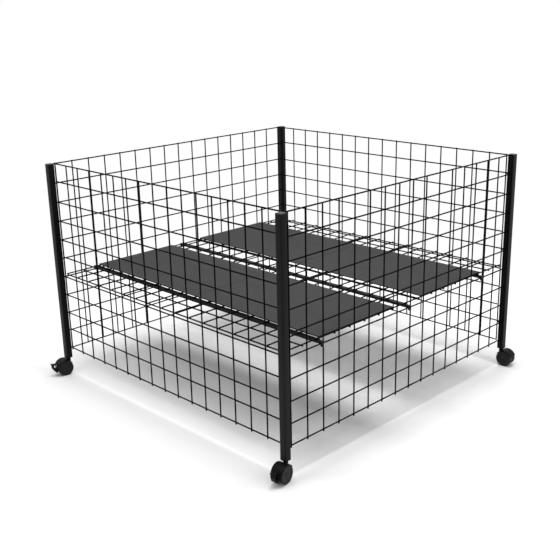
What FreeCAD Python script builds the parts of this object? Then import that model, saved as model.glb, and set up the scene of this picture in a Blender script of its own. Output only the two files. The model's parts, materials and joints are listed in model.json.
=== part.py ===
import FreeCAD, Part
import math
import os

# Retail dump bin: four square posts on twin-wheel castors, four welded wire panels,
# and a wire deck on three support bars, with four thin boards laid on it.
# Millimetres, +Z up, origin on the floor under the middle of the bin.
# +X is the right side, -Y is the front.

V = FreeCAD.Vector

# ---- wire mesh -----------------------------------------------------------------
WIRE_D = 4.0             # diameter of every wire
MESH_PITCH = 60.0        # centre to centre, both ways
CELLS_ACROSS = 16        # cells between the two edge wires, along X and along Y
CELLS_UP = 10            # cells between the bottom wire and the rim wire
WELD_SINK = 0.4          # how deep two crossing wires sink into each other
WIRE_TAIL = 0.3          # a cut wire runs on past its edge wire's outside by this
MESH_RISE = 30.0         # bottom wire above the underside of the legs
UPRIGHT_TAIL = 1.5       # uprights run on below the bottom wire's underside by this
HOOK_ROWS = (1, 5, 9)    # rows of the front and rear panels that hang in the lugs
HOOK_ROW_LIFT = 5.0      # those rows stand above the regular pitch by this

# ---- posts ---------------------------------------------------------------------
TUBE = 20.0              # outside of the square tube
TUBE_WALL = 1.5
TUBE_CORNER_R = 2.0
POST_PAST_EDGE_X = 3.5   # front panel's edge wire to the post's side face, along X
POST_PAST_EDGE_Y = 9.5   # side panel's edge wire to the post's side face, along Y
CAP_ABOVE_RIM = 1.5      # top of the post caps above the rim wire's centre
CAP_T = 2.5
CAP_PLUG = 12.0          # depth of the cap's plug in the tube
CAP_EDGE = 0.8           # chamfer round the top of the cap
PLUG_FIT = 0.1           # plug to tube wall, each side

# ---- lugs that the front and rear panels hang in --------------------------------
LUG_W = 3.0
LUG_T = 1.5
LUG_RISE = 1.0           # lip above the centre of the hanging wire
LUG_IN = 1.5             # lug in from the post's side face
HANG_GAP = 0.3           # hanging wire to the lug under it
HANG_FROM_POST = 2.5     # hanging wire to the post's inner face
PANEL_END_GAP = 2.0      # end of a hanging wire to the side panel's wire

# ---- deck, support bars and boards ----------------------------------------------
DECK_ROW = 4             # row of the side panels that carries the deck
BAR_COLUMNS = (2, 8, 14)  # side panel uprights that the bars pass beside
BAR_W = 8.0
BAR_H = 8.0
BAR_SIDE_GAP = 0.5       # bar to the upright beside it
BAR_NOTCH = 1.0          # depth of the saddle over the carrying wire
BAR_NOTCH_GAP = 0.5      # saddle's slack each side of the wire
BAR_HOOK_GAP = 1.0       # carrying wire to the hook behind it
BAR_HOOK_T = 6.0
BAR_HOOK_DROP = 6.0      # hook below the underside of the bar
LAY_GAP = 0.3            # deck above the bars, boards above the deck
BOARD_T = 3.0
BOARD_DEPTH = 302.0      # along Y
BOARD_PAST_EDGE = 2.5    # board past the centre of the deck's edge wire, along X
BOARD_PAST_COLUMN = 4.5  # board past the deck wire at the outer support bars, along Y
BOARD_SEAM = 1.0         # gap between the left and right boards
BOARD_SHIFT_Y = 2.0      # all boards lie this far towards the rear

# ---- castors --------------------------------------------------------------------
WHEEL_D = 50.0
WHEEL_W = 12.5           # one wheel of the pair
WHEEL_EDGE_R = 2.5
WHEEL_RIM_W = 4.0        # raised rim round the outer face
WHEEL_HUB_R = 7.0
WHEEL_DISH = 1.2         # depth of the outer face between rim and hub
WHEEL_CORE = 4.0         # hollow of the inner face
WHEEL_CORE_WALL = 4.0    # tread ring outside that hollow
WHEEL_COVER = 2.5        # closed outer end of the wheel's bore
TREAD_CHAMFER = 1.0      # on the tread's inner edge
WEB_T = 9.0              # middle wall of the housing, between the wheels
WEB_GAP = 0.5            # web to wheel, each side
HOOD_GAP = 0.5           # tread to the inside of the hood
HOOD_T = 1.5
HOOD_LAP = 1.0           # hood rooted this deep in the web
HOOD_REAR_DEG = 20.0     # rear end of the hood, up from level
HOOD_FRONT_DEG = 150.0   # front end of the hood, below the neck
WEB_LOW = 6.0            # web's lower edge below the axle
AXLE_D = 6.0
AXLE_BOSS_R = 8.0
RUN_FIT = 0.05           # radial clearance of a turning fit
PRESS_FIT = 0.01         # radial clearance of a fixed fit
END_GAP = 0.2            # pin end to the blind end of its bore
NECK_SET_IN = 8.0        # swivel axis behind the front of the treads
NECK_D = 13.0
NECK_H = 2.7             # neck above the top of the hood
NECK_FLOOR = 2.4         # closed foot of the neck, under the stem's bore
SWIVEL_GAP = 0.3         # neck to the underside of the leg
PIN_D = 6.0              # lower part of the stem, in the neck
PIN_L = 19.4             # below the underside of the leg
STEM_D = 10.0            # upper part of the stem, in the socket
STEM_L = 27.0
SOCKET_FLANGE = 2.0
SOCKET_PLUG = 30.0

# ---- brake pedals ---------------------------------------------------------------
PEDAL_PIN_D = 3.0
PEDAL_HUB_R = 3.0
PIVOT_PAST_TREAD = 7.0   # pivot behind the treads, measured from the axle
PEDAL_PIVOT_DEG = 25.0   # pivot, up from level
EAR_HALF_W = 3.0
EAR_R = 3.2
EAR_ROOT_H = 5.0         # height of the ear's root, where it grows out of the web
PEDAL_SIDE_GAP = 0.3     # pedal hub to the ear, each side
PEDAL_EAR_GAP = 0.5      # pedal round the ear
PEDAL_HALF_W = 7.0       # hub, tread plate and arm
TAB_L = 14.0
TAB_T = 3.2
TAB_RISE_DEG = 11.0
ARM_BACK = 8.0           # middle of the arm's bow, ahead of the pivot
ARM_DOWN = 4.5           # and below it
ARM_IN_R = 15.0
ARM_OUT_R = 20.0
ARM_LOW_DEG = -58.0
ARM_TOP_DEG = 24.0
SHOE_HALF_W = 12.0
SHOE_GAP = 3.0           # brake shoe to the treads when the brake is off
SHOE_T = 4.0
SHOE_LOW_DEG = -21.0
SHOE_TOP_DEG = 2.0

CUT_PAST = 1.0           # a cut runs on this far past what it cuts

# Where each castor trails at rest, anticlockwise from +X, and whether it has a brake.
CORNERS = {
    "front_left": {"sx": -1, "sy": -1, "trail_deg": -100.0, "brake": True},
    "front_right": {"sx": 1, "sy": -1, "trail_deg": -80.0, "brake": True},
    "rear_right": {"sx": 1, "sy": 1, "trail_deg": 4.0, "brake": False},
    "rear_left": {"sx": -1, "sy": 1, "trail_deg": 112.0, "brake": False},
}

# ---- sizes that follow -----------------------------------------------------------
WIRE_R = WIRE_D / 2
HALF_MESH = MESH_PITCH * CELLS_ACROSS / 2
POST_X = HALF_MESH + POST_PAST_EDGE_X + TUBE / 2
POST_Y = HALF_MESH + POST_PAST_EDGE_Y + TUBE / 2
POST_FACE_Y = POST_Y - TUBE / 2
TUBE_INSIDE = TUBE - 2 * TUBE_WALL

WHEEL_R = WHEEL_D / 2
TRAIL = WHEEL_R - NECK_SET_IN
HOOD_IN_R = WHEEL_R + HOOD_GAP
HOOD_OUT_R = HOOD_IN_R + HOOD_T
HOOD_TOP_Z = WHEEL_R + HOOD_OUT_R
NECK_TOP_Z = HOOD_TOP_Z + NECK_H
LEG_Z = NECK_TOP_Z + SWIVEL_GAP
WHEEL_IN_Y = WEB_T / 2 + WEB_GAP
WHEEL_OUT_Y = WHEEL_IN_Y + WHEEL_W

BOTTOM_WIRE_Z = LEG_Z + MESH_RISE
RIM_WIRE_Z = BOTTOM_WIRE_Z + MESH_PITCH * CELLS_UP
POST_TOP_Z = RIM_WIRE_Z + CAP_ABOVE_RIM
TUBE_BOTTOM_Z = LEG_Z + SOCKET_FLANGE
TUBE_TOP_Z = POST_TOP_Z - CAP_T

LAYER_STEP = WIRE_D - WELD_SINK
SIDE_ROW_X = POST_X - LAYER_STEP / 2
SIDE_UPRIGHT_X = POST_X + LAYER_STEP / 2
END_ROW_Y = POST_FACE_Y - HANG_FROM_POST - WIRE_R
END_UPRIGHT_Y = END_ROW_Y + LAYER_STEP

CARRY_Z = BOTTOM_WIRE_Z + MESH_PITCH * DECK_ROW
BAR_Z = CARRY_Z + WIRE_R - BAR_NOTCH
DECK_Y_WIRE_Z = BAR_Z + BAR_H + LAY_GAP + WIRE_R
DECK_X_WIRE_Z = DECK_Y_WIRE_Z - LAYER_STEP
BOARD_Z = DECK_Y_WIRE_Z + WIRE_R + LAY_GAP

AXLE_AT = V(TRAIL, 0, WHEEL_R)
PIN_FOOT_Z = LEG_Z - PIN_L - END_GAP
PIVOT_R = WHEEL_R + PIVOT_PAST_TREAD
PIVOT_AT = AXLE_AT + V(PIVOT_R * math.cos(math.radians(PEDAL_PIVOT_DEG)), 0,
                       PIVOT_R * math.sin(math.radians(PEDAL_PIVOT_DEG)))
ARM_AT = PIVOT_AT - V(ARM_BACK, 0, ARM_DOWN)


def save(name, shape):
    shape.exportStep(os.path.join("parts", name + ".step"))


def box(x0, x1, y0, y1, z0, z1):
    return Part.makeBox(x1 - x0, y1 - y0, z1 - z0, V(x0, y0, z0))


def rod_y(centre, radius, y0, y1):
    """A cylinder along Y between y0 and y1, round a centre in the XZ plane."""
    return Part.makeCylinder(radius, y1 - y0, V(centre.x, y0, centre.z), V(0, 1, 0))


def plate(points, half_w):
    """A closed outline of points in the XZ plane, as thick as 2 x half_w along Y."""
    corners = [point - V(0, half_w, 0) for point in points]
    face = Part.Face(Part.makePolygon(corners + corners[:1]))
    return face.extrude(V(0, 2 * half_w, 0))


def polar(centre, radius, degrees):
    """The point at a radius and an angle up from level, seen from a centre in the XZ plane."""
    a = math.radians(degrees)
    return centre + V(radius * math.cos(a), 0, radius * math.sin(a))


def band(centre, r_in, r_out, deg_0, deg_1, half_w):
    """A curved band round a centre, between two radii and two angles up from level."""
    mid = (deg_0 + deg_1) / 2

    def point(radius, degrees):
        return polar(centre, radius, degrees) - V(0, half_w, 0)

    edges = [
        Part.Arc(point(r_out, deg_0), point(r_out, mid), point(r_out, deg_1)).toShape(),
        Part.LineSegment(point(r_out, deg_1), point(r_in, deg_1)).toShape(),
        Part.Arc(point(r_in, deg_1), point(r_in, mid), point(r_in, deg_0)).toShape(),
        Part.LineSegment(point(r_in, deg_0), point(r_out, deg_0)).toShape(),
    ]
    return Part.Face(Part.Wire(edges)).extrude(V(0, 2 * half_w, 0))


# ---- wire panels ------------------------------------------------------------------
def welded(wires_one_way, wires_other_way):
    """Two layers of parallel wires that sink into each other, as one solid."""
    mesh = Part.makeCompound(wires_one_way).fuse(Part.makeCompound(wires_other_way))
    return mesh.Solids[0]


def across(index):
    """Place of a mesh wire, counted from one edge wire."""
    return MESH_PITCH * index - HALF_MESH


def side_panel():
    """The right-hand panel, centred on the posts: uprights outside, rows inside."""
    foot_z = BOTTOM_WIRE_Z - WIRE_R - UPRIGHT_TAIL
    height = RIM_WIRE_Z + WIRE_R - foot_z
    uprights = [Part.makeCylinder(WIRE_R, height, V(SIDE_UPRIGHT_X, across(i), foot_z))
                for i in range(CELLS_ACROSS + 1)]
    rows = [Part.makeCylinder(WIRE_R, 2 * POST_FACE_Y,
                              V(SIDE_ROW_X, -POST_FACE_Y, BOTTOM_WIRE_Z + MESH_PITCH * row),
                              V(0, 1, 0))
            for row in range(CELLS_UP + 1)]
    return welded(uprights, rows)


def end_row_z(row):
    lift = HOOK_ROW_LIFT if row in HOOK_ROWS else 0.0
    return BOTTOM_WIRE_Z + MESH_PITCH * row + lift


def rear_panel():
    """The rear panel: uprights outside the rows; the hook rows reach out into the lugs."""
    foot_z = BOTTOM_WIRE_Z - WIRE_R - UPRIGHT_TAIL
    height = RIM_WIRE_Z + WIRE_R - foot_z
    cut_reach = HALF_MESH + WIRE_R + WIRE_TAIL
    hook_reach = SIDE_ROW_X - WIRE_R - PANEL_END_GAP
    uprights = [Part.makeCylinder(WIRE_R, height, V(across(i), END_UPRIGHT_Y, foot_z))
                for i in range(CELLS_ACROSS + 1)]
    rows = []
    for row in range(CELLS_UP + 1):
        reach = hook_reach if row in HOOK_ROWS else cut_reach
        start = V(-reach, END_ROW_Y, end_row_z(row))
        rows.append(Part.makeCylinder(WIRE_R, 2 * reach, start, V(1, 0, 0)))
    return welded(uprights, rows)


def deck_mesh():
    """The loose deck: wires along X below, wires along Y on top of them."""
    reach = HALF_MESH + WIRE_R + WIRE_TAIL
    along_x = [Part.makeCylinder(WIRE_R, 2 * reach, V(-reach, across(i), DECK_X_WIRE_Z),
                                 V(1, 0, 0))
               for i in range(CELLS_ACROSS + 1)]
    along_y = [Part.makeCylinder(WIRE_R, 2 * reach, V(across(i), -reach, DECK_Y_WIRE_Z),
                                 V(0, 1, 0))
               for i in range(CELLS_ACROSS + 1)]
    return welded(along_x, along_y)


# ---- posts, caps and lugs -----------------------------------------------------------
def square_bar(width, z0, z1, corner_r):
    block = box(-width / 2, width / 2, -width / 2, width / 2, z0, z1)
    upright = [e for e in block.Edges if e.Vertexes[0].X == e.Vertexes[1].X
               and e.Vertexes[0].Y == e.Vertexes[1].Y]
    return block.makeFillet(corner_r, upright)


def post():
    inner_r = max(TUBE_CORNER_R - TUBE_WALL, TUBE_CORNER_R / 4)
    hollow = square_bar(TUBE_INSIDE, TUBE_BOTTOM_Z - CUT_PAST, TUBE_TOP_Z + CUT_PAST, inner_r)
    return square_bar(TUBE, TUBE_BOTTOM_Z, TUBE_TOP_Z, TUBE_CORNER_R).cut(hollow)


def post_cap():
    head = square_bar(TUBE, TUBE_TOP_Z, POST_TOP_Z, TUBE_CORNER_R)
    top_edges = [e for e in head.Edges if all(abs(v.Z - POST_TOP_Z) < 1e-6 for v in e.Vertexes)]
    head = head.makeChamfer(CAP_EDGE, top_edges)
    plug_w = TUBE_INSIDE - 2 * PLUG_FIT
    return head.fuse(square_bar(plug_w, TUBE_TOP_Z - CAP_PLUG, TUBE_TOP_Z, TUBE_CORNER_R))


def hook_lugs(sx, sy):
    """The lugs on one post's inner face, one for each hook row, as separate solids."""
    x0 = POST_X - TUBE / 2 + LUG_IN
    lip_y = END_ROW_Y - WIRE_R - HANG_GAP
    lugs = []
    for row in HOOK_ROWS:
        wire_z = end_row_z(row)
        floor_z = wire_z - WIRE_R - HANG_GAP
        floor = box(x0, x0 + LUG_W, lip_y - LUG_T, POST_FACE_Y, floor_z - LUG_T, floor_z)
        lip = box(x0, x0 + LUG_W, lip_y - LUG_T, lip_y, floor_z - LUG_T, wire_z + LUG_RISE)
        lugs.append(floor.fuse(lip).removeSplitter().Solids[0])
    return mirrored(Part.makeCompound(lugs), sx, sy)


def mirrored(shape, sx, sy):
    """A shape made for the +X +Y corner, carried to the corner (sx, sy)."""
    if sx < 0:
        shape = shape.mirror(V(0, 0, 0), V(1, 0, 0))
    if sy < 0:
        shape = shape.mirror(V(0, 0, 0), V(0, 1, 0))
    return shape


# ---- support bars and boards ----------------------------------------------------------
def support_bar(column):
    """A square bar with a saddle over each carrying wire and a hook behind it."""
    y1 = across(column) - WIRE_R - BAR_SIDE_GAP
    y0 = y1 - BAR_W
    hook_x = SIDE_ROW_X + WIRE_R + BAR_HOOK_GAP
    end_x = hook_x + BAR_HOOK_T
    bar = box(-end_x, end_x, y0, y1, BAR_Z, BAR_Z + BAR_H)
    saddle = WIRE_R + BAR_NOTCH_GAP
    for side in (-1, 1):
        hook_at = sorted((side * hook_x, side * end_x))
        bar = bar.fuse(box(hook_at[0], hook_at[1], y0, y1, BAR_Z - BAR_HOOK_DROP, BAR_Z))
        notch_at = side * SIDE_ROW_X
        bar = bar.cut(box(notch_at - saddle, notch_at + saddle, y0 - CUT_PAST, y1 + CUT_PAST,
                          BAR_Z - CUT_PAST, BAR_Z + BAR_NOTCH))
    return bar.removeSplitter().Solids[0]


def board(side, end):
    """A thin board; side is -1 left or 1 right, end is -1 front or 1 rear."""
    x_at = sorted((side * BOARD_SEAM / 2, side * (HALF_MESH + BOARD_PAST_EDGE)))
    outer = abs(across(BAR_COLUMNS[0])) + BOARD_PAST_COLUMN
    y_at = sorted((end * outer, end * (outer - BOARD_DEPTH)))
    return box(x_at[0], x_at[1], y_at[0] + BOARD_SHIFT_Y, y_at[1] + BOARD_SHIFT_Y,
               BOARD_Z, BOARD_Z + BOARD_T)


# ---- castors, made trailing along +X with the swivel axis at the origin -----------------
def castor_socket():
    flange = square_bar(TUBE, LEG_Z, TUBE_BOTTOM_Z, TUBE_CORNER_R)
    plug_w = TUBE_INSIDE - 2 * PLUG_FIT
    plug = square_bar(plug_w, TUBE_BOTTOM_Z, TUBE_BOTTOM_Z + SOCKET_PLUG, TUBE_CORNER_R)
    bore = Part.makeCylinder(STEM_D / 2 + PRESS_FIT, STEM_L + END_GAP + CUT_PAST,
                             V(0, 0, LEG_Z - CUT_PAST))
    return flange.fuse(plug).cut(bore)


def castor_stem():
    upper = Part.makeCylinder(STEM_D / 2, STEM_L, V(0, 0, LEG_Z))
    lower = Part.makeCylinder(PIN_D / 2, PIN_L, V(0, 0, LEG_Z - PIN_L))
    return upper.fuse(lower)


def wheel_space(half_w):
    """The room that the two wheels turn in, one block each side of the web."""
    inner = rod_y(AXLE_AT, HOOD_IN_R, WEB_T / 2, half_w)
    return inner.fuse(rod_y(AXLE_AT, HOOD_IN_R, -half_w, -WEB_T / 2))


def castor_housing(brake):
    """Web between the wheels, hood over them, and the neck round the stem."""
    room = wheel_space(WHEEL_OUT_Y + CUT_PAST)
    web_r = WHEEL_R - HOOD_GAP
    hood = band(AXLE_AT, web_r - HOOD_LAP, HOOD_OUT_R, HOOD_REAR_DEG, HOOD_FRONT_DEG, WHEEL_OUT_Y)
    web = rod_y(AXLE_AT, web_r, -WEB_T / 2, WEB_T / 2)
    web = web.cut(box(-WHEEL_D, 2 * WHEEL_D, -WEB_T, WEB_T, 0, AXLE_AT.z - WEB_LOW))
    boss = rod_y(AXLE_AT, AXLE_BOSS_R, -WEB_T / 2, WEB_T / 2)
    foot_z = PIN_FOOT_Z - NECK_FLOOR
    neck = Part.makeCylinder(NECK_D / 2, NECK_TOP_Z - foot_z, V(0, 0, foot_z))
    body = hood.fuse(neck).cut(room).fuse([web, boss])
    if brake:
        out = polar(V(0, 0, 0), 1, PEDAL_PIVOT_DEG)
        up = V(-out.z, 0, out.x) * (EAR_ROOT_H / 2)
        start = polar(AXLE_AT, web_r - AXLE_BOSS_R, PEDAL_PIVOT_DEG)
        root = plate([start - up, PIVOT_AT - up, PIVOT_AT + up, start + up], EAR_HALF_W)
        body = body.fuse([rod_y(PIVOT_AT, EAR_R, -EAR_HALF_W, EAR_HALF_W), root])
        body = body.cut(rod_y(PIVOT_AT, PEDAL_PIN_D / 2 + PRESS_FIT, -WHEEL_OUT_Y, WHEEL_OUT_Y))
    body = body.cut(Part.makeCylinder(PIN_D / 2 + RUN_FIT, LEG_Z - PIN_FOOT_Z,
                                      V(0, 0, PIN_FOOT_Z)))
    body = body.cut(rod_y(AXLE_AT, AXLE_D / 2 + PRESS_FIT, -WEB_T, WEB_T))
    return body.removeSplitter().Solids[0]


def castor_axle():
    half = WHEEL_OUT_Y - WHEEL_COVER - END_GAP
    return rod_y(AXLE_AT, AXLE_D / 2, -half, half)


def castor_wheel(side):
    """One wheel: its half section turned round the axle. side is -1 or 1 along Y."""
    bore = AXLE_D / 2 + RUN_FIT
    y_in = WHEEL_IN_Y
    y_out = WHEEL_OUT_Y
    edge = WHEEL_EDGE_R
    bend = edge * (1 - math.sqrt(0.5))
    core_in = WHEEL_HUB_R + WHEEL_DISH
    core_out = WHEEL_R - WHEEL_CORE_WALL
    rim_in = WHEEL_R - edge - WHEEL_RIM_W
    start = [(bore, y_out - WHEEL_COVER), (bore, y_in), (core_in, y_in),
             (core_in, y_in + WHEEL_CORE), (core_out, y_in + WHEEL_CORE), (core_out, y_in),
             (WHEEL_R - TREAD_CHAMFER, y_in), (WHEEL_R, y_in + TREAD_CHAMFER),
             (WHEEL_R, y_out - edge)]
    end = [(WHEEL_R - edge, y_out), (rim_in, y_out), (rim_in - WHEEL_DISH, y_out - WHEEL_DISH),
           (WHEEL_HUB_R + WHEEL_DISH, y_out - WHEEL_DISH), (WHEEL_HUB_R, y_out), (0, y_out),
           (0, y_out - WHEEL_COVER), start[0]]
    lines = [Part.LineSegment(V(a[0], a[1], 0), V(b[0], b[1], 0)).toShape()
             for run in (start, end) for a, b in zip(run, run[1:])]
    corner = Part.Arc(V(WHEEL_R, y_out - edge, 0), V(WHEEL_R - bend, y_out - bend, 0),
                      V(WHEEL_R - edge, y_out, 0)).toShape()
    section = Part.Face(Part.Wire(Part.__sortEdges__(lines + [corner])))
    wheel = section.revolve(V(0, 0, 0), V(0, 1, 0), 360)
    if side < 0:
        wheel = wheel.mirror(V(0, 0, 0), V(0, 1, 0))
    wheel.translate(AXLE_AT)
    return wheel


def brake_pedal():
    """Hub on the ear's pin, a tread plate to the rear, and a bowed arm down to the shoe."""
    hub = rod_y(PIVOT_AT, PEDAL_HUB_R, -PEDAL_HALF_W, PEDAL_HALF_W)
    along = polar(V(0, 0, 0), 1, TAB_RISE_DEG)
    up = V(-along.z, 0, along.x)
    near = PIVOT_AT + up * (PEDAL_HUB_R - TAB_T / 2)
    far = near + along * TAB_L
    half = up * (TAB_T / 2)
    tab = plate([near + half, far + half, far - half, near - half], PEDAL_HALF_W)
    tip = rod_y(far, TAB_T / 2, -PEDAL_HALF_W, PEDAL_HALF_W)
    arm = band(ARM_AT, ARM_IN_R, ARM_OUT_R, ARM_LOW_DEG, ARM_TOP_DEG, PEDAL_HALF_W)
    shoe_r = WHEEL_R + SHOE_GAP
    arm = arm.cut(rod_y(AXLE_AT, shoe_r, -SHOE_HALF_W, SHOE_HALF_W))
    shoe = band(AXLE_AT, shoe_r, shoe_r + SHOE_T, SHOE_LOW_DEG, SHOE_TOP_DEG, SHOE_HALF_W)
    pedal = hub.fuse([tab, tip, arm, shoe])
    slot_w = EAR_HALF_W + PEDAL_SIDE_GAP
    pedal = pedal.cut(rod_y(PIVOT_AT, EAR_R + PEDAL_EAR_GAP, -slot_w, slot_w))
    pedal = pedal.cut(rod_y(PIVOT_AT, PEDAL_PIN_D / 2 + RUN_FIT, -SHOE_HALF_W, SHOE_HALF_W))
    return pedal.removeSplitter().Solids[0]


def pedal_pin():
    return rod_y(PIVOT_AT, PEDAL_PIN_D / 2, -PEDAL_HALF_W, PEDAL_HALF_W)


def at_corner(shape, corner):
    """A castor piece turned to its trailing direction and set under its post."""
    placed = shape.copy()
    placed.rotate(V(0, 0, 0), V(0, 0, 1), corner["trail_deg"])
    placed.translate(V(corner["sx"] * POST_X, corner["sy"] * POST_Y, 0))
    return placed


def main():
    os.makedirs("parts", exist_ok=True)

    right_panel = side_panel()
    save("side_panel_right", right_panel)
    save("side_panel_left", mirrored(right_panel, -1, 1))
    back_panel = rear_panel()
    save("rear_panel", back_panel)
    save("front_panel", mirrored(back_panel, 1, -1))

    save("deck_mesh", deck_mesh())
    for name, column in zip(("front", "middle", "rear"), BAR_COLUMNS):
        save("support_bar_" + name, support_bar(column))
    for end_name, end in (("front", -1), ("rear", 1)):
        for side_name, side in (("left", -1), ("right", 1)):
            save("board_" + end_name + "_" + side_name, board(side, end))

    for name, corner in CORNERS.items():
        sx = corner["sx"]
        sy = corner["sy"]
        stand = V(sx * POST_X, sy * POST_Y, 0)
        save("post_" + name, post().translated(stand))
        save("post_cap_" + name, post_cap().translated(stand))
        save("hook_lugs_" + name, hook_lugs(sx, sy))
        save("castor_socket_" + name, castor_socket().translated(stand))
        save("castor_stem_" + name, castor_stem().translated(stand))
        save("castor_housing_" + name, at_corner(castor_housing(corner["brake"]), corner))
        save("castor_axle_" + name, at_corner(castor_axle(), corner))
        save("castor_wheel_a_" + name, at_corner(castor_wheel(1), corner))
        save("castor_wheel_b_" + name, at_corner(castor_wheel(-1), corner))
        if corner["brake"]:
            save("brake_pedal_" + name, at_corner(brake_pedal(), corner))
            save("pedal_pin_" + name, at_corner(pedal_pin(), corner))


main()
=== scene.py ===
import json
import math

import bpy
import numpy as np
from mathutils import Matrix, Vector


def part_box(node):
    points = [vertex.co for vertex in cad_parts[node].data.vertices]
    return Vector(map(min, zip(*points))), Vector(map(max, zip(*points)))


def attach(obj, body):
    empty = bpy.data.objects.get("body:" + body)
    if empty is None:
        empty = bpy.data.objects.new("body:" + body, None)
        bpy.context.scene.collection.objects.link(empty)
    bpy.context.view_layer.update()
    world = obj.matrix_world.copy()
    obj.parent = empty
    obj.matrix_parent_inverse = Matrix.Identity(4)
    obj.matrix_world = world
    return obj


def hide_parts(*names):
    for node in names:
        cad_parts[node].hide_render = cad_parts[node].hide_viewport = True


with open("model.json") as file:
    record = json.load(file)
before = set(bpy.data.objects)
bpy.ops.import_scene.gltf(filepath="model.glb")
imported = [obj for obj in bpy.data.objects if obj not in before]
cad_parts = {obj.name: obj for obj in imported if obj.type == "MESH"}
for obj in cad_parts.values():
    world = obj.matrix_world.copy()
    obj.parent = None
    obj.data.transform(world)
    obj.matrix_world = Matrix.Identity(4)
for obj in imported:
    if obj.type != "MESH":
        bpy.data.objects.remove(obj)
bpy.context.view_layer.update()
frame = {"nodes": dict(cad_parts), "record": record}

# ---- the bin's own sizes, in metres ----------------------------------------------------------
MM = 0.001
WIRE_R = 2 * MM
MESH_PITCH = 60 * MM
CELLS_ACROSS = 16
CELLS_UP = 10
LAYER_STEP = 3.6 * MM          # between the axes of two welded layers of wire
HOOK_ROWS = (1, 5, 9)          # rows of the front and rear panels that hang in the lugs
HOOK_ROW_LIFT = 5 * MM         # those rows sit this much above the even pitch
UPRIGHT_TAIL = 1.5 * MM        # uprights run on below the bottom row
WIRE_TAIL = 0.3 * MM           # a cut wire runs on past its edge wire's outside
TUBE = 20 * MM
TUBE_WALL = 1.5 * MM
TUBE_CORNER_R = 2 * MM
LUG_T = 1.5 * MM
LUG_RISE = 1.0 * MM            # lip above the centre of the hanging wire
HANG_GAP = 0.3 * MM
BAR_H = 8 * MM
BAR_HOOK_T = 6 * MM
BAR_NOTCH = 1 * MM
BAR_NOTCH_HALF = 2.5 * MM
BAR_HOOK_TO_NOTCH = 3.0 * MM   # hook's inner face to the middle of the saddle
WHEEL_R = 25 * MM
TRAIL = 17 * MM                # swivel axis to axle
WHEEL_IN_Y = 5 * MM
WHEEL_OUT_Y = 17.5 * MM
PIN_BORE_R = 3.05 * MM         # bores for the axle in the wheels and the stem in the neck
WEB_HALF = 4.5 * MM
HOOD_IN_R = 25.5 * MM
HOOD_OUT_R = 27 * MM
HOOD_REAR_DEG = 20.0           # the hood's two ends, up from level
HOOD_FRONT_DEG = 150.0
NECK_R = 6.5 * MM
NECK_TOP = 54.7 * MM
STEM_FOOT = 35.4 * MM          # closed lower end of the stem's bore
BORE_CLEAR = 3.2 * MM          # hood and web keep this far from the swivel axis
PIVOT_R = 32 * MM              # axle to the pedal's pivot
PIVOT_DEG = 25.0
PEDAL_HALF_W = 7 * MM
EAR_HALF_W = 3 * MM
PEDAL_SLOT = EAR_HALF_W + 0.3 * MM      # half the gap between the pedal's lugs
PEDAL_HUB_R = 3 * MM
# which way each castor trails at rest, anticlockwise from +X, and whether it has a brake
CASTORS = {"front_left": (-100.0, True), "front_right": (-80.0, True),
           "rear_right": (4.0, False), "rear_left": (112.0, False)}

# ---- camera ----------------------------------------------------------------------------------
CAMERA_AT = Vector((1.8948, -1.8987, 1.1587))
CAMERA_AZIMUTH = 45.182        # degrees, 0 looks along +Y
CAMERA_ELEVATION = 17.730      # degrees down
CAMERA_ROLL = -1.181
CAMERA_LENS = 57.267           # millimetres, like the sensor's width
SENSOR = 36.0
SEES_UP_TO = 60                # metres


def make_camera():
    """Looks along minus `away`; right and up are the level frame turned by the roll."""
    az = math.radians(CAMERA_AZIMUTH)
    el = math.radians(CAMERA_ELEVATION)
    roll = math.radians(CAMERA_ROLL)
    away = Vector((math.sin(az) * math.cos(el), -math.cos(az) * math.cos(el), math.sin(el)))
    right = (-away).cross(Vector((0, 0, 1))).normalized()
    up = right.cross(-away)
    turned_right = right * math.cos(roll) + up * math.sin(roll)
    turned_up = up * math.cos(roll) - right * math.sin(roll)
    data = bpy.data.cameras.new("camera")
    data.sensor_width = SENSOR
    data.lens = CAMERA_LENS
    data.clip_end = SEES_UP_TO
    camera = bpy.data.objects.new("camera", data)
    bpy.context.scene.collection.objects.link(camera)
    turn = Matrix((turned_right, turned_up, away)).transposed().to_4x4()
    camera.matrix_world = Matrix.Translation(CAMERA_AT) @ turn
    bpy.context.scene.camera = camera


make_camera()


# ---- materials -------------------------------------------------------------------------------
BOARD_GREY = (0.024, 0.024, 0.0245)
BOARD_STREAK_DARK = (0.022, 0.022, 0.0225, 1)
BOARD_STREAK_LIGHT = (0.027, 0.027, 0.0275, 1)
BOARD_SPECULAR = 0.15
BOARD_EDGE_PAINTED_SHADE = 0.1         # painted shade: the edges keep only this much of the faces' colour and sheen


def new_material(name, color, roughness, specular=0.5, metallic=0.0):
    """A plain Principled finish; returns the material, its nodes, its links and the shader."""
    made = bpy.data.materials.new(name)
    made.use_nodes = True
    nodes = made.node_tree.nodes
    shader = nodes["Principled BSDF"]
    shader.inputs["Base Color"].default_value = (*color, 1)
    shader.inputs["Roughness"].default_value = roughness
    shader.inputs["Specular IOR Level"].default_value = specular
    shader.inputs["Metallic"].default_value = metallic
    return made, nodes, made.node_tree.links, shader


def object_noise(nodes, links, scale, detail, stretch=(1, 1, 1)):
    """Noise in the piece's own coordinates, with `scale` grains to the metre, each axis scaled
    by `stretch` first."""
    place = nodes.new("ShaderNodeTexCoord")
    mapping = nodes.new("ShaderNodeMapping")
    mapping.inputs["Scale"].default_value = stretch
    noise = nodes.new("ShaderNodeTexNoise")
    noise.inputs["Scale"].default_value = scale
    noise.inputs["Detail"].default_value = detail
    links.new(place.outputs["Object"], mapping.inputs["Vector"])
    links.new(mapping.outputs["Vector"], noise.inputs["Vector"])
    return noise


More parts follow.
